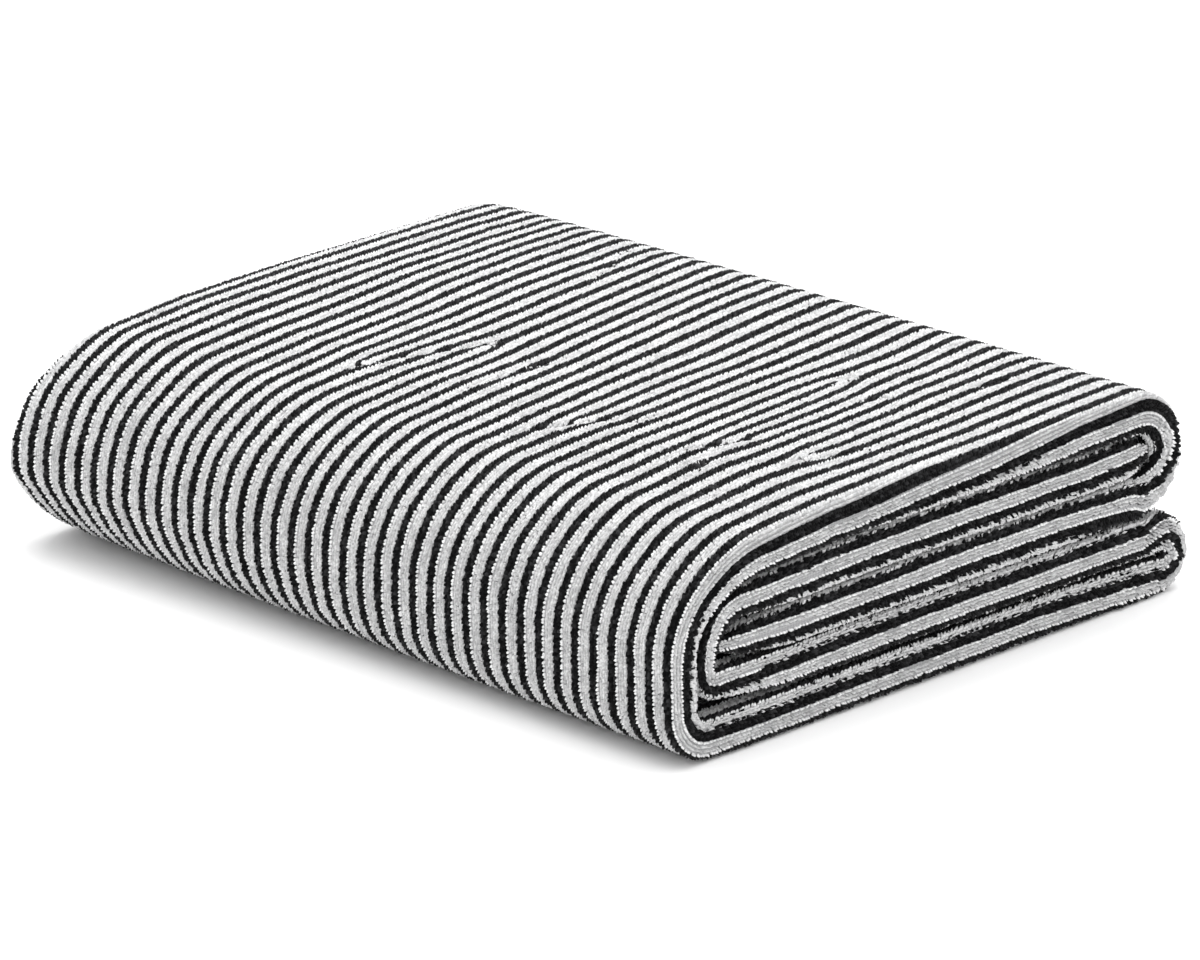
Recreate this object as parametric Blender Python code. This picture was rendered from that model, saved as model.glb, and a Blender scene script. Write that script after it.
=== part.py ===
"""A striped terry beach towel: one cloth, folded in half along its length and then back and forth in five.

The stack lies on its bottom section. X runs along the sections and along the stripes, and the long
fold of the doubled cloth is at -Y, where every section shows its rounded edge. The two long hems
lie at +Y. The origin is the middle of the stack's footprint, on the surface it rests on.
"""

import math
from typing import NamedTuple

import bmesh
import bpy
import numpy as np

MM = 0.001

# The doubled cloth, in millimetres
STACK_DEPTH = 400.0  # half of the towel's width of 800, from the long fold to the hems
NOSE_DEPTH = 5.2  # how far back the rounding of the long fold reaches
NOSE_ROUNDNESS = 3.4  # 2 is an ellipse, and more is blunter
LAYER_GAP = 1.0  # between the two layers of the doubled cloth
HEM_ROUND = 3.0  # how far a long hem bulges past its corners
HEM_SHARE = 0.3  # of the cloth's creep round the long fold, which shows at the long hems
MEAN_CREEP = 10.0  # where the two long hems lie flush
HEM_TAPER = ((0.0, 0.80), (9.0, 0.93), (26.0, 1.0))  # from the hem's corner: distance, share of half
FAR_POWER = 2.0  # how late the stack's unevenness sets in, from the long fold to the hems

# How finely the curves are cut
ARC_STEP = math.radians(15)
STRAIGHT_STEP = 34.0
NOSE_STEPS = 8
BED_STEPS = 3
HEM_STEPS = 2


class Bend(NamedTuple):
    """A corner of the way that the doubled cloth takes through the stack, seen from the long fold."""

    x: float  # along the stack from its middle
    z: float  # above the surface
    radius: float  # of the corner's rounding, at the middle of the doubled cloth
    half: float  # half the thickness of the doubled cloth
    nose: float  # how far the long fold lies behind the front of the stack
    creep: float  # how far the cloth has crept round the long fold, from its outer layer
    far_x: float = 0.0  # how much further along it lies at the long hems
    far_z: float = 0.0  # how much higher it lies there


# From the end inside the left-hand fold round to the end inside the right-hand fold, in millimetres
WAY = (
    # The third section, whose tapered end lies inside the small left-hand fold
    Bend(x=-125.5, z=45.2, radius=0.0, half=2.6, nose=5.0, creep=0.0),
    Bend(x=-110.0, z=45.4, radius=90.0, half=6.6, nose=3.0, creep=0.0),
    Bend(x=-84.0, z=45.8, radius=90.0, half=8.6, nose=1.6, creep=0.0),
    Bend(x=20.0, z=46.9, radius=90.0, half=9.1, nose=1.0, creep=0.0),
    # The upper right-hand fold, round the end of the second section
    Bend(x=146.6, z=46.6, radius=19.1, half=9.1, nose=1.6, creep=-5.0, far_x=-5.0),
    Bend(x=146.6, z=85.4, radius=19.2, half=9.2, nose=0.8, creep=-5.0, far_x=-7.0, far_z=0.5),
    # The top section, which sinks towards the left
    Bend(x=20.0, z=85.6, radius=90.0, half=9.3, nose=0.0, creep=0.0),
    Bend(x=-63.0, z=84.8, radius=90.0, half=9.3, nose=0.0, creep=5.0),
    # The big left-hand fold, wide at its top and tight at the surface
    Bend(x=-120.0, z=80.4, radius=60.0, half=8.6, nose=0.6, creep=8.0, far_x=-0.5, far_z=0.0),
    Bend(x=-149.2, z=60.6, radius=30.0, half=7.7, nose=0.6, creep=8.0, far_x=-4.5, far_z=0.5),
    Bend(x=-149.2, z=34.0, radius=0.0, half=7.7, nose=0.6, creep=8.0, far_x=-8.5, far_z=4.0),
    Bend(x=-149.2, z=8.8, radius=15.0, half=7.9, nose=0.2, creep=7.0, far_x=2.0, far_z=5.0),
    # The bottom section
    Bend(x=-114.0, z=8.8, radius=0.0, half=8.8, nose=0.0, creep=6.0),
    Bend(x=120.0, z=8.8, radius=0.0, half=8.8, nose=1.2, creep=9.0),
    # The lower right-hand fold, which is tight
    Bend(x=152.6, z=8.8, radius=9.3, half=8.5, nose=1.6, creep=7.0, far_x=-5.0),
    Bend(x=152.6, z=27.4, radius=9.3, half=8.5, nose=2.0, creep=7.0, far_x=-5.0),
    # The fourth section, which rises towards the left
    Bend(x=40.0, z=27.8, radius=90.0, half=8.6, nose=1.8, creep=11.0),
    Bend(x=-86.0, z=28.1, radius=90.0, half=8.2, nose=1.8, creep=16.0),
    # The small left-hand fold, round the end of the third section
    Bend(x=-134.6, z=30.6, radius=7.0, half=5.9, nose=2.6, creep=19.0),
    Bend(x=-134.6, z=61.2, radius=22.0, half=5.9, nose=2.2, creep=20.0),
    # The second section, whose end lies inside the upper right-hand fold
    Bend(x=-63.0, z=65.2, radius=90.0, half=8.9, nose=1.4, creep=20.0),
    Bend(x=20.0, z=66.1, radius=90.0, half=9.1, nose=1.4, creep=20.0),
    Bend(x=120.0, z=65.9, radius=90.0, half=8.8, nose=1.8, creep=20.0, far_x=-5.0),
    Bend(x=135.4, z=65.9, radius=0.0, half=4.6, nose=3.4, creep=20.0, far_x=-7.0),
)

TERRY_GREY = (0.36, 0.36, 0.37, 1.0)  # the black and white stripes, seen from afar
TERRY_ROUGHNESS = 0.95


class Station(NamedTuple):
    """A place on the way, where one outline of the doubled cloth stands."""

    place: np.ndarray
    heading: float
    along: float


def unit(heading):
    return np.array((math.cos(heading), math.sin(heading)))


def stations_of(way):
    """The way with its corners rounded, as stations, and how far along it each bend has its middle."""
    corners = [np.array((bend.x, bend.z)) for bend in way]
    stations = []
    middles = [0.0]
    start, along = corners[0], 0.0
    for bend, corner, ahead in zip(way[1:], corners[1:], corners[2:] + [None]):
        heading = math.atan2(*(corner - start)[::-1])
        turn = 0.0
        if ahead is not None:
            turn = math.remainder(math.atan2(*(ahead - corner)[::-1]) - heading, math.tau)
        cut = bend.radius * math.tan(abs(turn) / 2)
        run = np.linalg.norm(corner - start) - cut
        for share in np.arange(0.0, 1.0, 1.0 / math.ceil(run / STRAIGHT_STEP)):
            stations.append(Station(start + unit(heading) * run * share, heading, along + run * share))
        start = start + unit(heading) * run
        along += run
        middles.append(along + bend.radius * abs(turn) / 2)
        if cut > 0.0:
            side = math.copysign(math.pi / 2, turn)
            centre = start + unit(heading + side) * bend.radius
            for share in np.arange(0.0, 1.0, 1.0 / math.ceil(abs(turn) / ARC_STEP)):
                place = centre - unit(heading + turn * share + side) * bend.radius
                arc = bend.radius * abs(turn) * share
                stations.append(Station(place, heading + turn * share, along + arc))
            start = centre - unit(heading + turn + side) * bend.radius
            along += bend.radius * abs(turn)
    stations.append(Station(start, heading, along))
    return stations, middles


def nose(half, front, depth):
    """The rounded edge of a fold across the cloth, from its outer to its inner layer: (y, offset) pairs."""
    power = 2.0 / NOSE_ROUNDNESS
    edge = []
    for angle in np.linspace(math.pi / 2, -math.pi / 2, NOSE_STEPS + 1):
        bulge = max(math.cos(angle), 0.0) ** power
        lift = math.copysign(abs(math.sin(angle)) ** power, angle)
        edge.append((front + depth * (1.0 - bulge), half * lift))
    return edge


def bed(offset, back, end):
    """One flat side of the doubled cloth, from its long hem towards the fold: (y, offset) pairs."""
    taper = [(end - distance, offset * share) for distance, share in HEM_TAPER]
    level_end = taper[-1][0]
    shares = np.arange(1, BED_STEPS) / BED_STEPS
    return taper + [(level_end + (back - level_end) * share, offset) for share in shares]


def face_and_back(half, front, depth, outer_hem, inner_hem):
    """From one long hem round the fold to the other, along one side of the cloth: (y, offset) pairs."""
    outer = bed(half, front + depth, outer_hem)
    inner = bed(-half, front + depth, inner_hem)
    return outer + nose(half, front, depth) + inner[::-1]


def hem(end, start_offset, end_offset):
    """The points between the two corners of a long hem, which bulge."""
    middle = (start_offset + end_offset) / 2
    reach = (start_offset - end_offset) / 2
    angles = np.linspace(0.0, math.pi, HEM_STEPS + 1)[1:-1]
    return [(end + HEM_ROUND * math.sin(a), middle + reach * math.cos(a)) for a in angles]


def outline(half, nose_lag, creep):
    """The doubled cloth cut across: its outside and its inside as lists of the same length, and its hems."""
    front = -STACK_DEPTH / 2 + nose_lag
    layer = half - LAYER_GAP / 2
    lean = HEM_SHARE * (creep - MEAN_CREEP)
    outer_hem = STACK_DEPTH / 2 - HEM_ROUND - lean
    inner_hem = STACK_DEPTH / 2 - HEM_ROUND + lean
    outside = face_and_back(half, front, NOSE_DEPTH, outer_hem, inner_hem)
    inside = face_and_back(LAYER_GAP / 2, front + layer, LAYER_GAP, outer_hem, inner_hem)
    lower_hem = hem(inner_hem, outside[-1][1], inside[-1][1])
    upper_hem = hem(outer_hem, inside[0][1], outside[0][1])
    return outside, lower_hem, inside, upper_hem


def blended(way, middles, along):
    """The columns from half to far_z between two bends, which pass smoothly from one to the other."""
    index = min(int(np.searchsorted(middles, along, side="right")) - 1, len(way) - 2)
    share = (along - middles[index]) / (middles[index + 1] - middles[index])
    ease = share * share * (3.0 - 2.0 * share)
    before, after = np.array(way[index][3:]), np.array(way[index + 1][3:])
    return before + (after - before) * ease


def towel_mesh():
    """Sets an outline of the doubled cloth at each station, joins them and closes the two ends."""
    stations, middles = stations_of(WAY)
    shape = bmesh.new()
    rings = []
    for station in stations:
        half, nose_lag, creep, far_x, far_z = blended(WAY, middles, station.along)
        outward = unit(station.heading - math.pi / 2)
        outside, lower_hem, inside, upper_hem = outline(half, nose_lag, creep)
        ring = []
        for y, offset in outside + lower_hem + inside[::-1] + upper_hem:
            farness = max(0.5 + y / STACK_DEPTH, 0.0) ** FAR_POWER
            x, z = station.place + outward * offset + np.array((far_x, far_z)) * farness
            ring.append(shape.verts.new((x * MM, y * MM, z * MM)))
        rings.append(ring)
    for ring, following in zip(rings, rings[1:]):
        for a, b, c, d in zip(ring, ring[1:] + ring[:1], following[1:] + following[:1], following):
            shape.faces.new((a, b, c, d))
    for ring in (rings[0], rings[-1]):
        close_end(shape, ring, len(outside), len(lower_hem))
    bmesh.ops.recalc_face_normals(shape, faces=shape.faces)
    return shape


def close_end(shape, ring, side_count, hem_count):
    """Fills a cut across the cloth: a row of faces between its outside and its inside, and its two hems."""
    outside = ring[:side_count]
    lower_hem = ring[side_count : side_count + hem_count]
    inside = ring[side_count + hem_count : 2 * side_count + hem_count][::-1]
    upper_hem = ring[2 * side_count + hem_count :]
    for index in range(side_count - 1):
        shape.faces.new((outside[index], outside[index + 1], inside[index + 1], inside[index]))
    shape.faces.new([outside[-1], *lower_hem, inside[-1]])
    shape.faces.new([inside[0], *upper_hem, outside[0]])


def centred(shape):
    """Moves the mesh so that its box stands with the middle of its bottom on the origin."""
    places = np.array([vertex.co for vertex in shape.verts])
    low, high = places.min(axis=0), places.max(axis=0)
    middle = (low + high) / 2
    bmesh.ops.translate(shape, verts=shape.verts, vec=(-middle[0], -middle[1], -low[2]))


def terry():
    material = bpy.data.materials.new("striped_terry")
    material.use_nodes = True
    shader = material.node_tree.nodes["Principled BSDF"]
    shader.inputs["Base Color"].default_value = TERRY_GREY
    shader.inputs["Roughness"].default_value = TERRY_ROUGHNESS
    shader.inputs["Metallic"].default_value = 0.0
    material.diffuse_color = TERRY_GREY
    return material


def make_towel():
    shape = towel_mesh()
    centred(shape)
    mesh = bpy.data.meshes.new("towel")
    shape.to_mesh(mesh)
    shape.free()
    mesh.shade_smooth()
    mesh.set_sharp_from_angle(angle=math.radians(50))
    mesh.materials.append(terry())
    towel = bpy.data.objects.new("towel", mesh)
    bpy.context.scene.collection.objects.link(towel)


for stray in list(bpy.data.objects):
    bpy.data.objects.remove(stray, do_unlink=True)
make_towel()
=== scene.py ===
"""A striped terry beach towel, folded in half along its length and then back and forth in five.

It lies on a pale floor. X runs along the folded sections and the stripes, the long fold of the
doubled cloth is at -Y and the long hems are at +Y. Sizes are in millimetres, and in metres for
the floor, the light and the camera.
"""

import math
from typing import NamedTuple

import bpy
import numpy as np
from mathutils import Matrix, Vector


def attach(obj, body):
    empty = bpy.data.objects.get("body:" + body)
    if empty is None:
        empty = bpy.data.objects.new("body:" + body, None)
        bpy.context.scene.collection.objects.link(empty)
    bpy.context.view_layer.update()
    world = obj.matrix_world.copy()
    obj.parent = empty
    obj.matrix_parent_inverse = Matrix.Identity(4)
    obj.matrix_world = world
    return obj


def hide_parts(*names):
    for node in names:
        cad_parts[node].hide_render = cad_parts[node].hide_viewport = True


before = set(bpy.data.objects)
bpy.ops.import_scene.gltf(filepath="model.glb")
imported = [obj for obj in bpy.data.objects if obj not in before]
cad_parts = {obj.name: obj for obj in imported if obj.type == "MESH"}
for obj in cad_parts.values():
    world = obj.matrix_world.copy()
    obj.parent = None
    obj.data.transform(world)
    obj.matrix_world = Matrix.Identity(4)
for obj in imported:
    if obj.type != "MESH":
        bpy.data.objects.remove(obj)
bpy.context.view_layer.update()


# ---- the terry cloth
# One cloth of cotton terry, 0.80 by 1.50 m, woven with black and white stripes along its length.
# It is doubled along its middle, so that its two long hems meet at the back, and the doubled cloth
# is laid back and forth in five sections. This piece is its ground weave, which carries the loops.

MM = 0.001
STACK_DEPTH = 400.0  # from the long fold to the hems
STACK_MIDDLE = (-1.64, 2.25)  # of the solid's footprint, from where the way below is measured
LAYER_GAP = 1.0  # between the two layers of the doubled cloth
NOSE_DEPTH = 5.2  # how far back the rounding of the long fold reaches
NOSE_ROUNDNESS = 3.4  # 2 is an ellipse, and more is blunter
NOSE_STEPS = 15
HEM_ROUND = 3.0
HEM_TURNS = (15.0, 40.0, 65.0, 90.0, 115.0, 140.0, 165.0)  # round the hem's edge, in degrees
HEM_TAPER = ((0.0, 0.80), (9.0, 0.93), (26.0, 1.0))  # distance from it, share of the thickness
HEM_SHARE = 0.3  # of the cloth's creep, which shows at the long hems
MEAN_CREEP = 10.0  # with which the two hems end level
FAR_POWER = 2.0  # how slowly far_x and far_z set in behind the long fold
SLACK = 1e-9  # so that each place is on some run
PILE = 1.25  # how far the loops stand above the ground weave
STRIPE = 10.2  # one white and one black stripe
STRIPE_ROWS = 7  # rows of loops in them, four white and then three black
ROW = STRIPE / STRIPE_ROWS
WHITE_SHARE = 4.0 / 7.0


class Bend(NamedTuple):
    """A corner of the way that the doubled cloth takes, seen from the long fold."""

    x: float
    z: float
    radius: float
    half: float  # half the thickness of the doubled cloth
    nose: float  # how far the long fold lies behind the front of the stack
    creep: float  # how far the cloth has crept round the long fold
    far_x: float = 0.0  # how much further along it lies at the long hems
    far_z: float = 0.0  # how much higher it lies there


WAY = (
    # The third section, whose tapered end lies inside the small left fold
    Bend(-125.5, 45.2, 0.0, half=2.6, nose=5.0, creep=0.0),
    Bend(-110.0, 45.4, 90.0, half=6.6, nose=3.0, creep=0.0),
    Bend(-84.0, 45.8, 90.0, half=8.6, nose=1.6, creep=0.0),
    Bend(20.0, 46.9, 90.0, half=9.1, nose=1.0, creep=0.0),
    # The upper right fold
    Bend(146.6, 46.6, 19.1, half=9.1, nose=1.6, creep=-5.0, far_x=-5.0),
    Bend(146.6, 85.4, 19.2, half=9.2, nose=0.8, creep=-5.0, far_x=-7.0, far_z=0.5),
    # The top section
    Bend(20.0, 85.6, 90.0, half=9.3, nose=0.0, creep=0.0),
    Bend(-63.0, 84.8, 90.0, half=9.3, nose=0.0, creep=5.0),
    # The big left fold
    Bend(-120.0, 80.4, 60.0, half=8.6, nose=0.6, creep=8.0, far_x=-0.5),
    Bend(-149.2, 60.6, 30.0, half=7.7, nose=0.6, creep=8.0, far_x=-4.5, far_z=0.5),
    Bend(-149.2, 34.0, 0.0, half=7.7, nose=0.6, creep=8.0, far_x=-8.5, far_z=4.0),
    Bend(-149.2, 8.8, 15.0, half=7.9, nose=0.2, creep=7.0, far_x=2.0, far_z=5.0),
    # The bottom section
    Bend(-114.0, 8.8, 0.0, half=8.8, nose=0.0, creep=6.0),
    Bend(120.0, 8.8, 0.0, half=8.8, nose=1.2, creep=9.0),
    # The lower right fold
    Bend(152.6, 8.8, 9.3, half=8.5, nose=1.6, creep=7.0, far_x=-5.0),
    Bend(152.6, 27.4, 9.3, half=8.5, nose=2.0, creep=7.0, far_x=-5.0),
    # The fourth section
    Bend(40.0, 27.8, 90.0, half=8.6, nose=1.8, creep=11.0),
    Bend(-86.0, 28.1, 90.0, half=8.2, nose=1.8, creep=16.0),
    # The small left fold
    Bend(-134.6, 30.6, 7.0, half=5.9, nose=2.6, creep=19.0),
    Bend(-134.6, 61.2, 22.0, half=5.9, nose=2.2, creep=20.0),
    # The second section
    Bend(-63.0, 65.2, 90.0, half=8.9, nose=1.4, creep=20.0),
    Bend(20.0, 66.1, 90.0, half=9.1, nose=1.4, creep=20.0),
    Bend(120.0, 65.9, 90.0, half=8.8, nose=1.8, creep=20.0, far_x=-5.0),
    Bend(135.4, 65.9, 0.0, half=4.6, nose=3.4, creep=20.0, far_x=-7.0),
)


class Run(NamedTuple):
    """A straight or evenly curved stretch of the way."""

    start: float
    end: float
    place: np.ndarray
    heading: float
    curve: float  # how fast it turns, in radians per millimetre


def unit(heading):
    return np.stack((np.cos(heading), np.sin(heading)), axis=-1)


def arc(heading, end, curve):
    """The way round a bend, from one heading to another."""
    return (unit(end - math.pi / 2) - unit(heading - math.pi / 2)) / curve


def runs_of_way():
    """The way as runs with its corners rounded, and how far along it each bend has its middle."""
    corners = [np.array((bend.x, bend.z)) for bend in WAY]
    runs, middles = [], [0.0]
    place, along = corners[0], 0.0
    for bend, corner, ahead in zip(WAY[1:], corners[1:], corners[2:] + [None]):
        heading = math.atan2(*(corner - place)[::-1])
        turn = 0.0
        if ahead is not None:
            turn = math.remainder(math.atan2(*(ahead - corner)[::-1]) - heading, math.tau)
        length = float(np.linalg.norm(corner - place)) - bend.radius * math.tan(abs(turn) / 2)
        runs.append(Run(along, along + length, place, heading, 0.0))
        place = place + unit(heading) * length
        along += length
        length = bend.radius * abs(turn)
        middles.append(along + length / 2)
        if length > 0.0:
            curve = turn / length
            runs.append(Run(along, along + length, place, heading, curve))
            place = place + arc(heading, heading + turn, curve)
            along += length
    return runs, np.array(middles)


RUNS, BEND_PLACES = runs_of_way()
CLOTH_END = RUNS[-1].end


def way_at(along):
    """The middle of the doubled cloth at distances along its way, its heading and its curve."""
    place = np.zeros((len(along), 2))
    heading = np.zeros(len(along))
    curve = np.zeros(len(along))
    for run in RUNS:
        here = (along >= run.start - SLACK) & (along <= run.end + SLACK)
        distance = along[here] - run.start
        heading[here] = run.heading + run.curve * distance
        curve[here] = run.curve
        if run.curve:
            place[here] = run.place + arc(run.heading, heading[here], run.curve)
        else:
            place[here] = run.place + unit(run.heading) * distance[:, None]
    return place, heading, curve


def eased(share):
    """A share between 0 and 1 that sets in and ends softly."""
    return share * share * (3.0 - 2.0 * share)


def within(along, span, ease):
    """1 in this span of the way, easing to 0 at both its ends."""
    return np.clip(np.minimum(along - span[0], span[1] - along) / ease, 0.0, 1.0)


def columns_at(along):
    """Half thickness, nose, creep, far_x and far_z between the bends, as one column each."""
    index = np.clip(np.searchsorted(BEND_PLACES, along, side="right") - 1, 0, len(WAY) - 2)
    share = (along - BEND_PLACES[index]) / (BEND_PLACES[index + 1] - BEND_PLACES[index])
    table = np.array([bend[3:] for bend in WAY])
    return (table[index] + (table[index + 1] - table[index]) * eased(share)[:, None]).T


def cut_across(half, nose, creep):
    """The outside of the doubled cloth cut across, from the lower hem round the nose to the upper.

    Gives each point's distance from the nose's tip, its y and its offset, and the way out there.
    """
    front = -STACK_DEPTH / 2 + nose
    lean = HEM_SHARE * (creep - MEAN_CREEP)
    power = 2.0 / NOSE_ROUNDNESS
    angles = np.linspace(0.0, math.pi / 2, NOSE_STEPS)
    nose_y = front + NOSE_DEPTH * (1.0 - np.clip(np.cos(angles), 0.0, 1.0) ** power)
    nose_offset = half * np.sin(angles) ** power
    taper_offset = [half * share for _, share in HEM_TAPER[::-1]]
    corner, inner = HEM_TAPER[0][1] * half, LAYER_GAP / 2
    turns = np.radians(HEM_TURNS)
    edge_offset = (corner + inner) / 2 + (corner - inner) / 2 * np.cos(turns)
    side_offset = np.concatenate((nose_offset, taper_offset, edge_offset))
    sides = []
    for side_lean in (lean, -lean):
        hem = STACK_DEPTH / 2 - HEM_ROUND + side_lean
        taper_y = [hem - distance for distance, _ in HEM_TAPER[::-1]]
        sides.append(np.concatenate((nose_y, taper_y, hem + HEM_ROUND * np.sin(turns))))
    y = np.concatenate((sides[0][:0:-1], sides[1]))
    offset = np.concatenate((-side_offset[:0:-1], side_offset))
    reach = np.concatenate(([0.0], np.cumsum(np.hypot(np.diff(y), np.diff(offset)))))
    reach -= reach[len(side_offset) - 1]
    slope_y, slope_offset = np.gradient(y, reach), np.gradient(offset, reach)
    steepness = np.hypot(slope_y, slope_offset)
    return reach, y, offset, -slope_offset / steepness, slope_y / steepness


# How far the stripes have crept round the tip of the long fold: distance along the way, creep
STRIPE_CREEP = (
    # The third section, and the upper right fold
    (0.0, 0.7), (90.0, 1.0), (150.0, 2.0), (210.0, 2.0), (250.0, 0.4), (268.0, -4.5),
    (285.0, -10.0),
    # The top section, and the big left fold
    (310.0, -8.5), (350.0, -7.0), (410.0, -2.0), (450.0, 0.0), (490.0, 2.5), (530.0, 3.3),
    (570.0, 4.3), (590.0, 5.3), (630.0, 6.0), (650.0, 7.2), (690.0, 7.0),
    # The bottom section, and the lower right fold
    (730.0, 7.7), (850.0, 8.7), (890.0, 7.5), (930.0, 5.5), (945.0, 1.5), (970.0, 11.2),
    # The fourth section, the small left fold and the second section
    (1090.0, 11.8), (1150.0, 12.8), (1190.0, 14.2), (1230.0, 17.0), (1270.0, 21.8), (1310.0, 21.2),
    (1390.0, 21.6), (1490.0, 22.0), (1528.0, 24.0),
)

# How far the stripes of the top section have drifted: distances along the way in rows, and from
# the long fold's tip in columns
DRIFT_REACHES = (15.0, 65.0, 115.0, 165.0, 215.0, 265.0, 315.0, 390.0)
STRIPE_DRIFT = (
    (304.0, (-18.3, -21.2, -25.3, -28.1, -31.2, -30.8, -26.0, -16.5)),
    (352.0, (-16.9, -18.3, -16.9, -20.9, -25.0, -24.4, -23.5, -16.2)),
    (400.0, (-13.2, -14.9, -11.9, -13.4, -17.4, -17.8, -18.2, -14.7)),
    (448.0, (-11.2, -10.9, -7.5, -9.1, -10.9, -10.7, -10.4, -12.5)),
    (496.0, (-6.0, -8.3, -6.0, -3.8, -5.0, -4.7, -4.6, -8.4)),
    (544.0, (-3.2, -4.7, -5.1, -4.5, -3.6, -3.4, -3.5, -7.3)),
    (592.0, (1.7, 1.4, 0.5, 0.5, 0.1, -0.7, 0.2, 0.7)),
    (636.0, (3.4, 2.2, 1.7, 1.2, 0.9, 1.3, 2.8, 5.8)),
    (655.0, (2.7, 1.5, 1.2, 0.9, 0.9, 1.7, 3.6, 6.9)),
    (672.0, (4.6, 3.4, 2.7, 1.9, 1.6, 2.0, 3.5, 6.8)),
)
DRIFT_SPAN = (200.0, 700.0)  # of the way, past the two folds of the top section
DRIFT_EASE = 40.0


class Fork(NamedTuple):
    """Where one stripe of the top section ends and, further on, another begins beside it."""

    along: float
    reach: float
    end_along: float
    end_reach: float


FORKS = (
    Fork(513.8, 277.0, 460.0, 254.5),
    Fork(508.0, 155.0, 388.0, 111.0),
    Fork(480.0, 91.0, 262.0, 88.0),
    Fork(472.5, 55.8, 262.0, 56.0),
)
FORK_WIDTH = 0.8  # how wide a fork spreads along the stripes


def forked(along, reach):
    """How far the forks shift the stripes: a full one on the line between a fork's two ends."""
    shift = np.zeros(np.broadcast(along, reach).shape)
    for fork in FORKS:
        start = -np.arctan2(reach - fork.reach, FORK_WIDTH * (along - fork.along))
        end = -np.arctan2(reach - fork.end_reach, FORK_WIDTH * (along - fork.end_along))
        shift = shift + np.angle(np.exp(1j * (start - end)))
    return shift * STRIPE / math.tau


def stripe_shift(along, reach):
    """How much further from the cloth's middle these places are than from the nose's tip."""
    creep = np.interp(along, *np.transpose(STRIPE_CREEP))
    strength = within(along, DRIFT_SPAN, DRIFT_EASE) * (reach > 0.0)
    stops = np.array([stop for stop, _ in STRIPE_DRIFT])
    table = np.array([drifts for _, drifts in STRIPE_DRIFT])
    place = np.clip(along, stops[0], stops[-1])
    beyond = creep - np.interp(place, *np.transpose(STRIPE_CREEP))
    columns = [creep - forked(along, 0.0)]
    columns += [np.interp(place, stops, column) + beyond for column in table.T]
    knots = (0.0,) + DRIFT_REACHES
    held = np.clip(reach, 0.0, knots[-1])
    index = np.clip(np.searchsorted(knots, held, side="right") - 1, 0, len(knots) - 2)
    share = eased((held - np.take(knots, index)) / np.take(np.diff(knots), index))
    drift = np.zeros(np.broadcast(along, reach).shape)
    for number, (near, far) in enumerate(zip(columns, columns[1:])):
        drift = np.where(index == number, near + (far - near) * share, drift)
    return creep + (drift + forked(along, reach) - creep) * strength


class Crease(NamedTuple):
    """A soft crease in the top section, where the cloth dips into a small trough."""

    x: float
    y: float
    length: float
    angle: float  # from the stripes, in degrees
    depth: float


CREASES = (
    Crease(-45.7, 56.5, 74.0, -20.0, 1.0),
    Crease(-37.6, 9.8, 66.0, -1.3, 0.9),
    Crease(-69.3, -52.6, 48.0, -33.7, 1.1),
    Crease(-42.0, -72.5, 22.0, -3.6, 0.9),
    Crease(-44.5, -117.7, 42.0, -19.8, 1.0),
    Crease(-63.4, -128.6, 27.0, 20.8, 0.8),
    Crease(99.6, 86.5, 76.0, 22.2, 0.7),
    Crease(44.1, -125.2, 22.0, -27.0, 0.9),
    Crease(96.9, -146.8, 34.0, -9.2, 0.8),
    Crease(-22.1, -161.0, 38.0, -19.5, 0.8),
)
TROUGH_WIDTH = 1.7
SHOULDER_PLACE, SHOULDER_WIDTH = 4.2, 2.6  # of the low swells beside a trough
SHOULDER_SHARE = 0.35  # of the trough's depth


class Swells(NamedTuple):
    """Smooth unevenness: its size along the cloth and across it, and its seed."""

    length: float
    width: float
    seed: int


LATTICE = 64  # swells each way, before they repeat


def soft_noise(swells, along, across):
    """Smooth unevenness between -1 and 1 at these places of the cloth."""
    lattice = np.random.default_rng(swells.seed).uniform(-1.0, 1.0, (LATTICE, LATTICE))
    forth, aside = along / swells.length, across / swells.width
    column, row = np.floor(forth).astype(int), np.floor(aside).astype(int)
    right, above = eased(forth - column), eased(aside - row)
    levels = []
    for level in (row % LATTICE, (row + 1) % LATTICE):
        start, end = lattice[column % LATTICE, level], lattice[(column + 1) % LATTICE, level]
        levels.append(start + (end - start) * right)
    return levels[0] * (1.0 - above) + levels[1] * above


def creased(x, y):
    """How far the creases lift the cloth at these places of the top, and how near one is."""
    lift, nearness = np.zeros_like(x), np.zeros_like(x)
    for crease in CREASES:
        angle = math.radians(crease.angle)
        run = (x - crease.x) * math.cos(angle) + (y - crease.y) * math.sin(angle)
        aside = np.abs((y - crease.y) * math.cos(angle) - (x - crease.x) * math.sin(angle))
        strength = np.clip(1.0 - (2.0 * run / crease.length) ** 2, 0.0, 1.0)
        swell = SHOULDER_SHARE * np.exp(-(((aside - SHOULDER_PLACE) / SHOULDER_WIDTH) ** 2))
        trough = np.exp(-((aside / TROUGH_WIDTH) ** 2))
        lift -= crease.depth * (trough - swell) * strength
        nearness = np.maximum(nearness, trough * strength)
    return lift, nearness


def guessed_place(along, reach):
    """About where these places of the top section lie in the stack, for its creases."""
    half = columns_at(along)[0][:, None]
    x = np.broadcast_to(way_at(along)[0][:, :1], reach.shape)
    return x, np.abs(reach) - half - STACK_DEPTH / 2


class Laid(NamedTuple):
    """Where points of the cloth lie, with the ways out of it, along it and to its long fold."""

    place: np.ndarray
    out: np.ndarray
    along: np.ndarray
    aside: np.ndarray
    to_hem: np.ndarray  # how far each point is from the hem's edge


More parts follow.
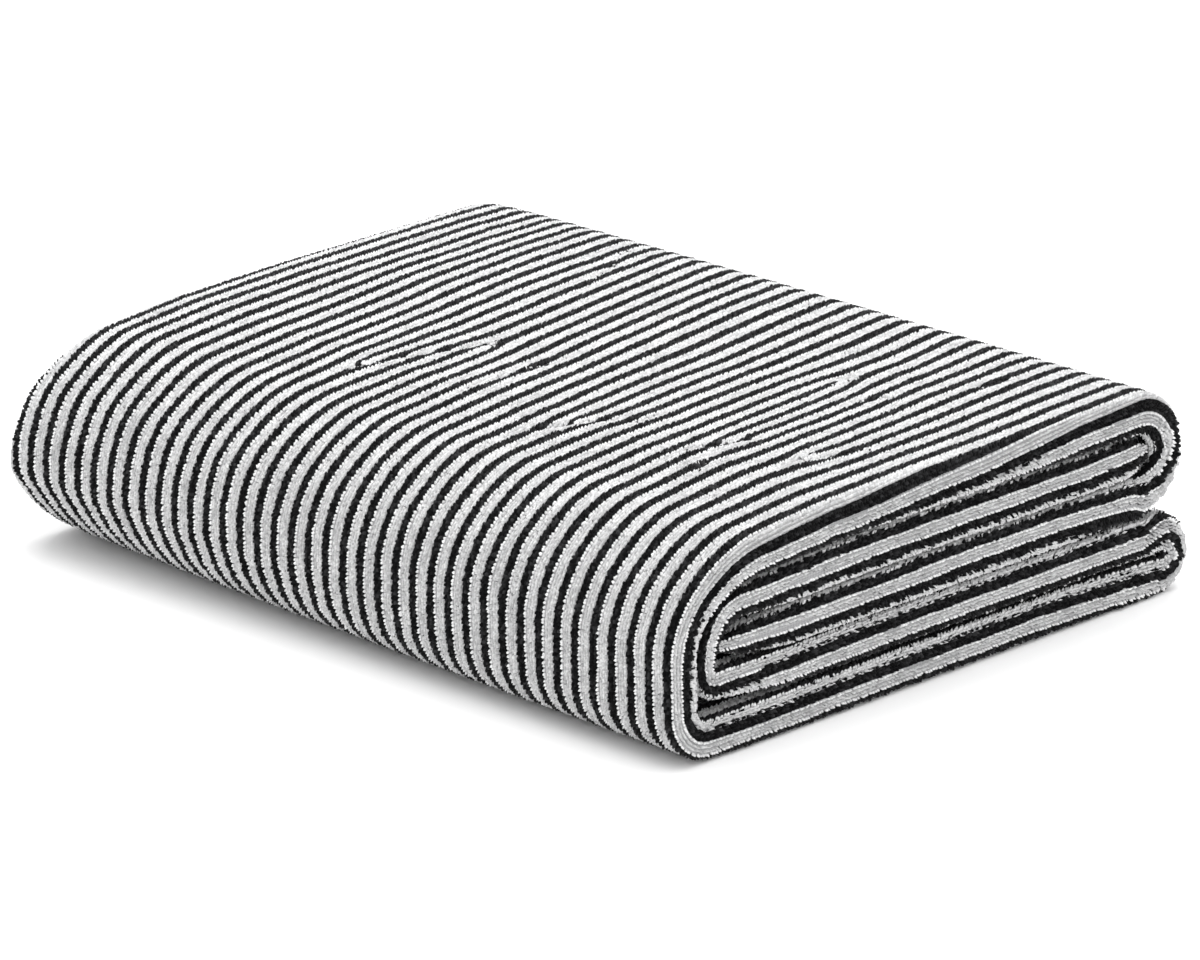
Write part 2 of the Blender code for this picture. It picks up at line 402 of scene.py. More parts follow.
TOP_SECTION = (318.0, 575.0)  # along the way, between its two folds
EASE = 20.0  # over which the creases and swells set in
NOSE_CALM, HEM_CALM = 4.0, 14.0  # how far from the nose's tip and the hem's edge they start
NOSE_WANDER = 0.15  # the share of them on the nose's tip
WIDE_WANDER, WIDE_SWELLS = 0.35, Swells(47.0, 31.0, 11)
NARROW_WANDER, NARROW_SWELLS = 0.28, Swells(11.0, 7.0, 12)
TOP_RISE, TOP_SWELLS = 0.45, Swells(38.0, 44.0, 13)


def stacked(middle, outward, y, offset, far_x, far_z):
    """Places in the stack, from their y and their offset from the doubled cloth's middle."""
    farness = np.clip(0.5 + y / STACK_DEPTH, 0.0, None) ** FAR_POWER
    x = middle[:, :1] + outward[:, :1] * offset + far_x * farness - STACK_MIDDLE[0]
    z = middle[:, 1:] + outward[:, 1:] * offset + far_z * farness
    return np.stack((x, y - STACK_MIDDLE[1], z), axis=-1)


def lay(along, reach):
    """Lays the cloth's points on the stack, a row of them for each station along the way.

    reach is the distance from the nose's tip, positive on the outer side, which shows on top.
    """
    middle, heading, _ = way_at(along)
    half, nose, creep, far_x, far_z = columns_at(along)
    outward = unit(heading - math.pi / 2)
    sections = [cut_across(*row) for row in zip(half, nose, creep)]
    lower, upper = np.array([(distance[0], distance[-1]) for distance, *_ in sections]).T
    to_hem = np.where(reach > 0.0, upper[:, None] - reach, reach - lower[:, None])
    on_top = within(along, TOP_SECTION, EASE)[:, None] * (reach > 0.0)
    sink = creased(*guessed_place(along, reach))[0] * on_top
    ease_in = np.clip((np.abs(reach) - NOSE_CALM) / EASE, NOSE_WANDER, 1.0)
    ease_in = ease_in * np.clip((to_hem - HEM_CALM) / EASE, 0.0, 1.0)
    station = along[:, None] + 0.0 * reach
    wander = WIDE_WANDER * soft_noise(WIDE_SWELLS, station, reach)
    wander = wander + NARROW_WANDER * soft_noise(NARROW_SWELLS, station, reach)
    shifted = reach + wander * ease_in
    rise = sink + TOP_RISE * soft_noise(TOP_SWELLS, station, reach) * ease_in * on_top
    y, offset, out_y, out_offset = (np.empty(reach.shape) for _ in range(4))
    for index, (distance, *lines) in enumerate(sections):
        for values, line in zip((y, offset, out_y, out_offset), lines):
            values[index] = np.interp(shifted[index], distance, line)
    steepness = np.hypot(out_y, out_offset)
    out_y, out_offset = out_y / steepness, out_offset / steepness
    y, offset = y + out_y * rise, offset + out_offset * rise
    place = stacked(middle, outward, y, offset, far_x[:, None], far_z[:, None])
    out = np.stack((outward[:, :1] * out_offset, out_y, outward[:, 1:] * out_offset), axis=-1)
    lengthwise = np.zeros(out.shape)
    lengthwise[..., ::2] = unit(heading)[:, None]
    return Laid(place, out, lengthwise, np.cross(out, lengthwise), to_hem)


def into_scene(name, data):
    """A new object of the scene."""
    made = bpy.data.objects.new(name, data)
    bpy.context.scene.collection.objects.link(made)
    return made


def piece_from(name, points, blocks, maps):
    """A smooth mesh piece. Each block holds faces of one size, and each map a pair a corner."""
    mesh = bpy.data.meshes.new(name)
    mesh.vertices.add(len(points))
    mesh.vertices.foreach_set("co", (points * MM).astype(np.float32).ravel())
    corners = np.concatenate([block.ravel() for block in blocks]).astype(np.int32)
    sizes = np.repeat([block.shape[1] for block in blocks], [len(block) for block in blocks])
    mesh.loops.add(len(corners))
    mesh.loops.foreach_set("vertex_index", corners)
    mesh.polygons.add(len(sizes))
    mesh.polygons.foreach_set("loop_start", (np.cumsum(sizes) - sizes).astype(np.int32))
    mesh.polygons.foreach_set("loop_total", sizes.astype(np.int32))
    mesh.polygons.foreach_set("use_smooth", np.ones(len(sizes), bool))
    mesh.update(calc_edges=True)
    for map_name, pairs in maps.items():
        layer = mesh.uv_layers.new(name=map_name)
        layer.data.foreach_set("uv", pairs.astype(np.float32).ravel())
    mesh.validate()
    return into_scene(name, mesh)


GROUND_STEP = 8.0  # along the way, between two rows of the ground weave's points
BEND_STEP = 10.0  # the most that the cloth bends between them, in degrees
NOSE_COLUMNS = np.arange(-16, 24) * ROW  # the columns round the nose, from its tip
HEM_COLUMNS = np.array((38.0, 28.0, 20.0, 16.0, 13.0, 11.0, 9.0, 7.0, 5.0, 3.0, 1.5, 0.0))
FLAT_COLUMNS = np.arange(1, 44) / 44.0  # as shares of the way between those and the hem's
INSIDE_COLUMNS = 8


def way_stations():
    """Distances along the way, closer together where it bends tightly."""
    stops = [0.0]
    for run in RUNS:
        step = GROUND_STEP
        if run.curve:
            step = min(step, math.radians(BEND_STEP) / abs(run.curve))
        count = max(1, math.ceil((run.end - run.start) / step))
        stops.extend(np.linspace(run.start, run.end, count + 1)[1:])
    return np.array(stops)


def ground_reaches(along):
    """The ground weave's columns, from the lower hem round the nose to the upper hem."""
    half, nose, creep, *_ = columns_at(along)
    rows = []
    for station in zip(half, nose, creep):
        distance = cut_across(*station)[0]
        sides = []
        for end, start in ((-distance[0], -NOSE_COLUMNS[0]), (distance[-1], NOSE_COLUMNS[-1])):
            flat = start + (end - HEM_COLUMNS[0] - start) * FLAT_COLUMNS
            sides.append(np.concatenate((flat, end - HEM_COLUMNS)))
        rows.append(np.concatenate((-sides[0][::-1], NOSE_COLUMNS, sides[1])))
    return np.stack(rows)


RESTING = (672.0, 915.0)  # along the way, where the outer side lies on the floor
RESTING_EASE = 12.0
RESTING_REACH, REACH_EASE = 14.0, 6.0  # how far from the nose's tip that starts
PRESSED_FLAT = 0.9  # how much of their height the loops lose there


def ground_depth(along, reach):
    """How far the ground weave lies under the tips of the loops."""
    resting = within(along, RESTING, RESTING_EASE)[:, None]
    resting = resting * np.clip((reach - RESTING_REACH) / REACH_EASE, 0.0, 1.0)
    return PILE * (1.0 - PRESSED_FLAT * resting)


def inside_layers(along):
    """The two insides of the doubled cloth: from the upper hem in, and out to the lower hem."""
    middle, heading, _ = way_at(along)
    half, nose, creep, far_x, far_z = (column[:, None] for column in columns_at(along))
    outward = unit(heading - math.pi / 2)
    shares = np.linspace(0.0, 1.0, INSIDE_COLUMNS)
    front = -STACK_DEPTH / 2 + nose + half - LAYER_GAP / 2
    layers = []
    for side, order in ((1, shares[::-1]), (-1, shares)):
        hem = STACK_DEPTH / 2 - HEM_ROUND - side * HEM_SHARE * (creep - MEAN_CREEP)
        y = front + (hem - front) * order
        layers.append(stacked(middle, outward, y, side * LAYER_GAP / 2, far_x, far_z))
    return layers


def ground_cloth_map(along, reach, quads, ends):
    """How far along and across the cloth each corner is, with no jump of a stripe in a face."""
    hidden = np.tile(STRIPE * np.arange(2 * INSIDE_COLUMNS), (len(along), 1))
    across = np.concatenate((reach + stripe_shift(along[:, None], reach), hidden), axis=1)
    lengthwise = np.repeat(along, across.shape[1])
    across, reach = across.ravel(), np.concatenate((reach, hidden), axis=1).ravel()
    corner_across, corner_reach = across[quads], reach[quads]
    expected = corner_across[:, :1] + corner_reach - corner_reach[:, :1]
    corner_across = corner_across - STRIPE * np.round((corner_across - expected) / STRIPE)
    sides = np.stack((lengthwise[quads], corner_across), axis=-1).reshape(-1, 2)
    cut_ends = np.stack((lengthwise[ends.ravel()], across[ends.ravel()]), axis=-1)
    return np.concatenate((sides, cut_ends)) * MM


BAKE_MARGIN, BAKE_LENGTH, BAKE_WIDTH = 0.01, 0.98, 0.95  # shares of its baked picture
BAKE_ENDS = (0.975, 0.99)  # where its two cut ends are


def ground_bake_map(corner_along, columns):
    """A place for each face: the cloth laid flat, and its two cut ends beside it."""
    steps = np.arange(columns + 1) / columns
    rows = len(corner_along) // (4 * columns)
    left, right = np.tile(steps[:-1], rows), np.tile(steps[1:], rows)
    across = BAKE_MARGIN + BAKE_WIDTH * np.stack((left, right, right, left), axis=-1).ravel()
    along = BAKE_MARGIN + BAKE_LENGTH * corner_along / CLOTH_END
    cut_ends = np.stack((np.tile(steps[:-1], 2), np.repeat(BAKE_ENDS, columns)), axis=-1)
    return np.concatenate((np.stack((along, across), axis=-1), cut_ends))


def make_ground_weave():
    """The closed mesh of the doubled cloth: its outside from hem to hem, and its inside."""
    along = way_stations()
    reach = ground_reaches(along)
    laid = lay(along, reach)
    outside = laid.place - laid.out * ground_depth(along, reach)[..., None]
    ring = np.concatenate((outside, *inside_layers(along)), axis=1)
    rows, columns = ring.shape[:2]
    number = np.arange(rows * columns).reshape(rows, columns)
    following = np.roll(number, -1, axis=1)
    quads = np.stack((number[:-1], following[:-1], following[1:], number[1:]), axis=-1)
    quads = quads.reshape(-1, 4)
    ends = np.stack((number[0, ::-1], number[-1]))
    cloth_map = ground_cloth_map(along, reach, quads, ends)
    bake_map = ground_bake_map(np.repeat(along, columns)[quads.ravel()], columns)
    maps = {"cloth": cloth_map, "OFBake": bake_map}
    return piece_from("terry_cloth", ring.reshape(-1, 3), [quads, ends], maps)


COTTON = {
    "Roughness": 0.95, "Sheen Weight": 0.06, "Sheen Roughness": 0.5, "Specular IOR Level": 0.1,
}


class Weaver:
    """Adds nodes to a material and links them, so that a pattern reads as sums."""

    def __init__(self, name):
        self.material = bpy.data.materials.new(name)
        self.material.use_nodes = True
        self.tree = self.material.node_tree
        self.shader = self.tree.nodes["Principled BSDF"]

    def node(self, kind, settings=None, **inputs):
        made = self.tree.nodes.new(kind)
        for key, value in (settings or {}).items():
            setattr(made, key, value)
        for key, value in inputs.items():
            self.put(made.inputs[key.replace("_", " ")], value)
        return made

    def put(self, socket, value):
        if isinstance(value, bpy.types.NodeSocket):
            self.tree.links.new(value, socket)
        else:
            socket.default_value = value

    def sum(self, operation, *values):
        made = self.tree.nodes.new("ShaderNodeMath")
        made.operation = operation
        for socket, value in zip(made.inputs, values):
            self.put(socket, value)
        return made.outputs[0]

    def noise(self, where, scale, detail=2.0):
        made = self.node("ShaderNodeTexNoise", Vector=where, Scale=scale, Detail=detail)
        return made.outputs["Fac"]

    def blend(self, share, first, second):
        made = self.node("ShaderNodeMix", {"data_type": "RGBA"})
        self.put(made.inputs["Factor"], share)
        self.put(made.inputs["A"], first)
        self.put(made.inputs["B"], second)
        return made.outputs["Result"]

    def cotton(self, yarn, painted_shade_and_tone, relief, bump, bump_height):
        """Makes it cotton of this colour, scaled by painted shade (in the loops also by their
        fibres' random tone), with a bump from this relief.
        """
        colour = self.node("ShaderNodeVectorMath", {"operation": "SCALE"}, Vector=yarn, Scale=painted_shade_and_tone)
        self.put(self.shader.inputs["Base Color"], colour.outputs["Vector"])
        raised = self.node("ShaderNodeBump", Strength=bump, Distance=bump_height, Height=relief)
        self.put(self.shader.inputs["Normal"], raised.outputs["Normal"])
        for name, value in COTTON.items():
            self.shader.inputs[name].default_value = value


def cloth_places(weaver):
    """The distances along and across the cloth, in metres, from the piece's cloth map."""
    where = weaver.node("ShaderNodeUVMap", {"uv_map": "cloth"}).outputs["UV"]
    split = weaver.node("ShaderNodeSeparateXYZ", Vector=where)
    return where, split.outputs["X"], split.outputs["Y"]


def black_share(weaver, across, edge):
    """1 in the black stripes and 0 in the white ones, from the distance across the cloth."""
    turns = weaver.sum("FRACT", weaver.sum("ADD", weaver.sum("DIVIDE", across, STRIPE * MM), 0.5))
    aside = weaver.sum("ABSOLUTE", weaver.sum("SUBTRACT", turns, 0.5))
    return weaver.sum("GREATER_THAN", aside, edge)


# Painted shade: the weave's white cotton is painted darker than the loops' white, as the shade
# under the loops
SHADED_GROUND_WHITES = ((0.47, 0.47, 0.48, 1.0), (0.58, 0.58, 0.59, 1.0))  # patchy between them
GROUND_BLACK = (0.006, 0.006, 0.0065, 1.0)
GROUND_PATCHES = 60.0  # how fine they are
STRIPE_FRAY, FRAY_SCALE = 0.10, 900.0  # how far and how finely a stripe's edge is frayed
PRESSED_PITCH = 1.6  # of the pressed loops along a row
ROW_RELIEF, PITCH_RELIEF = 0.35, 0.25
# Painted shade: the weave's colour is dimmed overall, and more in the grooves between its rows and
# pressed loops
PAINTED_GROUND_LIGHT, PAINTED_RELIEF_SHADE = 0.78, 0.25  # its brightness, and what its relief adds
GROUND_BUMP, GROUND_BUMP_HEIGHT = 0.6, 0.0008


def ground_material():
    """Stripes and rows of pressed loops, with painted shade in the grooves between the rows, on a
    white painted darker as the shade under the loops.
    """
    weaver = Weaver("terry_ground")
    where, along, across = cloth_places(weaver)
    ragged = weaver.sum("SUBTRACT", weaver.noise(where, FRAY_SCALE), 0.5)
    fray = weaver.sum("MULTIPLY", ragged, STRIPE_FRAY)
    black = black_share(weaver, across, weaver.sum("ADD", WHITE_SHARE / 2, fray))
    rows = weaver.sum("SINE", weaver.sum("MULTIPLY", across, math.tau / (ROW * MM)))
    loops = weaver.sum("SINE", weaver.sum("MULTIPLY", along, math.tau / (PRESSED_PITCH * MM)))
    rows = weaver.sum("MULTIPLY", rows, ROW_RELIEF)
    relief = weaver.sum("ADD", rows, weaver.sum("MULTIPLY", loops, PITCH_RELIEF))
    # patchy white, painted darker as the shade under the loops
    white = weaver.blend(weaver.noise(where, GROUND_PATCHES, detail=3.0), *SHADED_GROUND_WHITES)
    yarn = weaver.blend(black, white, GROUND_BLACK)
    # painted shade, darkest in the grooves of the relief
    painted_row_shade = weaver.sum("ADD", PAINTED_GROUND_LIGHT, weaver.sum("MULTIPLY", relief, PAINTED_RELIEF_SHADE))
    weaver.cotton(yarn, painted_row_shade, relief, GROUND_BUMP, GROUND_BUMP_HEIGHT)
    return weaver.material


terry_cloth = make_ground_weave()
terry_cloth.data.materials.append(ground_material())
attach(terry_cloth, "root")
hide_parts("towel")


# ---- the loops
# The pile: rows of cotton loops that run along the stripes, four white rows and then three black.
# The row of each white stripe that is furthest from the long fold has smaller, rounder loops,
# which stand off as beads. Loops are made where the cloth shows: on top, round the folds, at edges.


class Form(NamedTuple):
    """One kind of loop: its points as shares of its length, width and height, and its sizes."""

    points: tuple
    triangles: tuple
    pitch: float  # along a row
    length: float
    width: float
    height: float
    unevenness: float  # of its height
    lean: float
    stray: float  # off its row


FEET = ((-0.5, -0.5, 0.0), (0.5, -0.5, 0.0), (0.5, 0.5, 0.0), (-0.5, 0.5, 0.0))
LONG_RIDGE = ((-0.42, 0.0, 1.0), (0.42, 0.0, 1.0))
SHORT_RIDGE = ((-0.20, 0.0, 1.0), (0.20, 0.0, 1.0))
BELT = ((0.0, -0.62, 0.55), (0.62, 0.0, 0.55), (0.0, 0.62, 0.55), (-0.62, 0.0, 0.55))
ROOF = ((0, 1, 5), (0, 5, 4), (2, 3, 4), (2, 4, 5))
WHITE_LOOP = Form(
    points=FEET + LONG_RIDGE,
    triangles=ROOF,
    pitch=1.25, length=1.75, width=1.40, height=1.66, unevenness=0.11, lean=0.18, stray=0.10,
)
BEAD_LOOP = Form(
    points=FEET + BELT + ((0.0, 0.0, 1.0),),
    triangles=(
        (0, 1, 4), (1, 5, 4), (1, 2, 5), (2, 6, 5), (2, 3, 6), (3, 7, 6), (3, 0, 7), (0, 4, 7),
        (4, 5, 8), (5, 6, 8), (6, 7, 8), (7, 4, 8),
    ),
    pitch=1.7, length=1.25, width=1.0, height=1.9, unevenness=0.14, lean=0.16, stray=0.08,
)
BLACK_LOOP = Form(
    points=FEET + SHORT_RIDGE,
    triangles=ROOF + ((1, 2, 5), (3, 0, 4)),
    pitch=1.7, length=2.2, width=1.65, height=1.80, unevenness=0.15, lean=0.34, stray=0.10,
)
LOOP_ROOT = 0.45  # how deep a loop's foot sits in the ground weave
BEAD_STANDS_OFF = 0.45
CALM_HEIGHT = 1.2  # of a bead on smooth cloth, which grows as the cloth is ruffled
# the painted light of a loop's tip reaches this far down it, above the painted shade at its foot
TIP_COVERS = 1.8  # how far down a loop its tip's brightness reaches

# A stripe's rows, counted away from the long fold's tip from the middle of its white half
NEAR_WHITE, FAR_WHITE = 5, 1
WHITE_ROWS = (NEAR_WHITE, 6, 0, FAR_WHITE)
WHITE_MIDDLE = 0
FAR_BLACK, BLACK_MIDDLE, NEAR_BLACK = 2, 3, 4


class Patch(NamedTuple):
    """A patch of pile, between distances along the way and from the long fold's tip."""

    name: str
    start: float
    end: float
    nearest: float
    furthest: float
    spread: float  # how much further apart its loops stand
    ruffle: float  # how uneven they are
    seed: int
    offset: float = 1.0  # of its bend from the cloth's middle, in half thicknesses
    hem_depth: float = math.inf  # how far from the hem's edge it reaches


TOP_START, TOP_END = 291.0, 566.0
LEFT_END = 684.0
UPPER_START = 248.0
LOWER_START, LOWER_END = 905.0, 972.0
NOTCH_END = 992.0  # how far in the notch above the lower right fold shows
BEYOND = 430.0  # the hem, wherever its edge is
PATCHES = (
    Patch("loops_on_top_near", TOP_START, TOP_END, 0.0, 135.0, 1.0, 0.5, 21),
    Patch("loops_on_top_middle", TOP_START, TOP_END, 135.0, 270.0, 1.0, 0.5, 22),
    Patch("loops_on_top_far", TOP_START, TOP_END, 270.0, BEYOND, 1.0, 0.5, 23),
    Patch("loops_on_left_fold", TOP_END, LEFT_END, 0.0, BEYOND, 1.0, 0.8, 24),
    Patch("loops_on_upper_right_fold", UPPER_START, TOP_START, 0.0, BEYOND, 1.3, 1.5, 25),
    Patch("loops_on_lower_right_fold", LOWER_START, NOTCH_END, 0.0, BEYOND, 1.3, 1.5, 26),
)
EDGE_DEPTH = 24.0  # how deep between two sections the loops reach from the long fold
EDGE_OFFSET = 0.6
HEM_DEPTH = 22.0  # and from the hems' edges
HEM_START = 380.0
EDGE_PATCHES = (
    Patch("loops_on_long_fold_outer", 0.0, CLOTH_END, 0.0, EDGE_DEPTH, 1.0, 1.0, 31, EDGE_OFFSET),
    Patch("loops_on_long_fold_inner", 0.0, CLOTH_END, -EDGE_DEPTH, 0.0, 1.0, 1.0, 32, -EDGE_OFFSET),
    Patch("loops_by_upper_hem", 0.0, CLOTH_END, HEM_START, BEYOND, 1.3, 1.0, 41, 1.0, HEM_DEPTH),
    Patch("loops_by_lower_hem", 0.0, CLOTH_END, -BEYOND, -HEM_START, 1.3, 1.0, 42, -1.0, HEM_DEPTH),
)
HEM_BARE = 1.2  # the last of the hem, which faces the other one
LOOP_OFFSET = 0.95  # the share of half the thickness at which loops are spaced evenly
WAY_SAMPLE, ROW_SAMPLE = 0.1, 0.15
LEAST_STRETCH = 0.25
OPEN_SIDE = (UPPER_START, LOWER_END)  # along the way, where the outer side faces no other section
VALLEY_LEAN, VALLEY_BLACKENS = 1.3, 0.05  # between two sections the loops are ruffled
VALLEY_EDGE = 0.35  # how much of a stripe's first row shows there
VALLEY_STANDS = 1.18  # how much higher its white loops stand there
CREASE_WHITENS, CREASE_BLACKENS = 0.18, 0.12
FORK_REACH = (9.0, 2.8)  # along and across, over which a stripe thins to its end
EDGE_THINS, EDGE_CHANCE = 1.0, 0.3  # from which share of that its edge rows are white
MIDDLE_THINS, MIDDLE_CHANCE = 0.5, 0.2  # and its middle row


def evenly_along(start, end, offset, pitch):
    """Distances along the way at which loops on that side of the cloth are a pitch apart."""
    fine = np.arange(start, end, WAY_SAMPLE)
    _, _, curve = way_at(fine)
    half = columns_at(fine)[0]
    stretch = np.clip(1.0 + curve * half * offset, LEAST_STRETCH, None)
    travelled = np.concatenate(([0.0], np.cumsum(stretch[:-1] * WAY_SAMPLE)))
    count = round(travelled[-1] / pitch)
    return np.interp((np.arange(count) + 0.5) / count * travelled[-1], travelled, fine)


def in_a_patch(along, reach):
    """Whether a patch of the first table covers these places."""
    covered = np.zeros(reach.shape, bool)
    for patch in PATCHES:
        inside = ((along >= patch.start) & (along < patch.end))[:, None]
        covered |= inside & (reach >= patch.nearest) & (reach < patch.furthest)
    return covered


def wanted(patch, along, reach, to_hem):
    """Where a patch has loops: one at an edge has none that another patch covers already."""
    shown = (to_hem > HEM_BARE) & (to_hem < patch.hem_depth)
    return shown if patch in PATCHES else shown & ~in_a_patch(along, reach)


def rows_at(along, nearest, furthest):
    """The rows of loops at these stations: each one's number in its stripe, and its reach."""
    fine = np.arange(nearest, furthest, ROW_SAMPLE)
    reach = np.broadcast_to(fine, (len(along), len(fine)))
    place = (reach + stripe_shift(along[:, None], reach)) / ROW - 0.5
    step = np.diff(np.floor(place), axis=1)
    half_stripe = STRIPE_ROWS // 2
    step = (step + half_stripe) % STRIPE_ROWS - half_stripe
    station, index = np.nonzero(step >= 1.0)
    rest = 1.0 - (place[station, index] % 1.0)
    column = np.arange(len(station)) - np.searchsorted(station, station)
    row = np.full((len(along), column.max() + 1), -1)
    row_reach = np.zeros(row.shape)
    row[station, column] = np.floor(place[station, index + 1]).astype(int) % STRIPE_ROWS
    row_reach[station, column] = fine[index] + np.clip(rest * ROW, 0.0, ROW_SAMPLE)
    return row, row_reach


def beads_among(row, stripe_reach):
    """Which loops are beads, at the far edge of a stripe or on the fold's own, and which way."""
    outer = (row == FAR_WHITE) & (stripe_reach > -STRIPE / 2)
    inner = (row == NEAR_WHITE) & (stripe_reach < STRIPE / 2)
    return outer | inner, np.where(row == FAR_WHITE, 1.0, -1.0)


def stirred(along, row, reach, random):
    """The rows once the loops have settled: one gives way in a valley, at a fork, on a crease."""
    stripe_reach = reach - (row + 0.5 - STRIPE_ROWS * (row > BLACK_MIDDLE)) * ROW
    beside = (np.abs(stripe_reach) > STRIPE / 2) & (np.abs(stripe_reach) < 1.5 * STRIPE)
    open_side = (reach > 0.0) & ((along > OPEN_SIDE[0]) & (along < OPEN_SIDE[1]))[:, None]
    valley = beside & ~open_side & (row >= 0)
    chance = random.uniform(0.0, 1.0, row.shape)
    hidden = valley & (chance > VALLEY_EDGE)
    row = np.where(hidden & (reach > 0.0) & (row == NEAR_WHITE), NEAR_BLACK, row)
    row = np.where(hidden & (reach < 0.0) & (row == FAR_WHITE), FAR_BLACK, row)
    row = np.where(valley & (chance < VALLEY_BLACKENS), BLACK_MIDDLE, row)
    on_top = (reach > 0.0) & ((along > TOP_SECTION[0]) & (along < TOP_SECTION[1]))[:, None]
    nearness = creased(*guessed_place(along, reach))[1] * on_top
    black = (row > FAR_WHITE) & (row < NEAR_WHITE)
    white = (row >= 0) & ~black
    row = np.where(black & (chance < CREASE_WHITENS * nearness), WHITE_MIDDLE, row)
    row = np.where(white & (chance < CREASE_BLACKENS * nearness), BLACK_MIDDLE, row)
    for fork in FORKS:
        for stop in ((fork.along, fork.reach), (fork.end_along, fork.end_reach)):
            forth, aside = along[:, None] - stop[0], reach - stop[1]
            away = np.hypot(forth / FORK_REACH[0], aside / FORK_REACH[1])
            edge = (row == FAR_BLACK) | (row == NEAR_BLACK)
            edge = edge & (away < EDGE_THINS - EDGE_CHANCE * chance)
            middle = (row == BLACK_MIDDLE) & (away < MIDDLE_THINS - MIDDLE_CHANCE * chance)
            row = np.where(on_top & (edge | middle), WHITE_MIDDLE, row)
    return row, stripe_reach, valley


STRAY_ALONG = 0.25  # of the pitch, the most that a loop strays along its row
SIZES = (0.90, 1.10)
MOST_UNEVEN = 0.3
LEAN_ASIDE = 0.7  # as a share of the lean along the row
TURN, TIP_TILT = 0.16, 0.12


def loop_points(form, patch, laid, shown, in_valley, random):
    """The points of each loop where it stands on the cloth, no two of one size, turn and lean."""
    single = (np.count_nonzero(shown), 1)
    out, lengthwise, aside = laid.out[shown], laid.along[shown], laid.aside[shown]
    stray = random.uniform(-STRAY_ALONG, STRAY_ALONG, single) * form.pitch
    base = laid.place[shown] - out * (PILE + LOOP_ROOT) + lengthwise * stray
    size = random.uniform(*SIZES, single)
    uneven = random.normal(0.0, form.unevenness, single).clip(-MOST_UNEVEN, MOST_UNEVEN)
    height = min(form.height, CALM_HEIGHT + patch.ruffle) if form is BEAD_LOOP else form.height
    height = height * patch.spread * (1.0 + uneven * patch.ruffle)
    if form is WHITE_LOOP:
        height = height * np.where(in_valley, VALLEY_STANDS, 1.0)[:, None]
    loose = np.where(in_valley, VALLEY_LEAN, patch.ruffle)[:, None]
    lean_along = random.normal(0.0, form.lean, single) * loose
    lean_aside = random.normal(0.0, form.lean * LEAN_ASIDE, single) * loose
    turn = random.normal(0.0, TURN, single)
    ahead = lengthwise * np.cos(turn) + aside * np.sin(turn)
    over = aside * np.cos(turn) - lengthwise * np.sin(turn)
    tip = random.normal(0.0, TIP_TILT, single)
    points = np.empty((len(base), len(form.points), 3))
    for number, (forth, wide, up) in enumerate(form.points):
        spot = base + ahead * (forth * form.length * patch.spread * size + lean_along * up)
        spot = spot + over * (wide * form.width * size + lean_aside * up)
        points[:, number] = spot + out * (up * height + tip * forth * up)
    points[:, :, 2] = np.maximum(points[:, :, 2], 0.0)  # the floor presses the lowest ones flat
    return points


PATCHY_SWELLS = Swells(9.0, 5.0, 17)
STREAK_SWELLS = Swells(8.0, ROW, 19)
WHITE_SHADE, WHITE_RANGE, PATCHY_RANGE, STREAK_RANGE = 0.10, 0.40, 0.20, 0.30
# White loops in a valley are painted brighter and more even than in the open: painted light against
# the valley's shade, over a narrower random tone
PAINTED_VALLEY_LIGHT, VALLEY_RANGE = 0.55, 0.30
# Beads are painted brighter the more ruffled their patch, most on the near and right faces: a
# painted highlight, over a random tone
BEAD_SHADE, BEAD_RUFFLED_HIGHLIGHT, BEAD_RANGE = 0.30, 0.30, 0.40
BLACK_POWER = 3  # so that few black loops are pale


def loop_shades(form, patch, along, reach, in_valley, random):
    """How bright each loop is, from the darkest of its colour at 0 to the brightest at 1."""
    shade = random.uniform(0.0, 1.0, len(along))
    if form is BEAD_LOOP:
        # painted highlight, stronger where the patch is more ruffled
        return BEAD_SHADE + BEAD_RUFFLED_HIGHLIGHT * patch.ruffle + BEAD_RANGE * shade
    if form is BLACK_LOOP:
        return shade**BLACK_POWER
    patchy = 0.5 + 0.5 * soft_noise(PATCHY_SWELLS, along, reach)
    streak = 0.5 + 0.5 * soft_noise(STREAK_SWELLS, along, reach)
    in_open = WHITE_SHADE + WHITE_RANGE * shade + PATCHY_RANGE * patchy + STREAK_RANGE * streak
    # painted light: valley loops are lifted above the open ones
    return np.where(in_valley, PAINTED_VALLEY_LIGHT + VALLEY_RANGE * shade, in_open)


ROW_WANDERS = 0.30  # how far a row bends aside, so that rows bunch and part
ROW_SWELLS = Swells(14.0, ROW, 23)
CELL_FILLED = 0.7


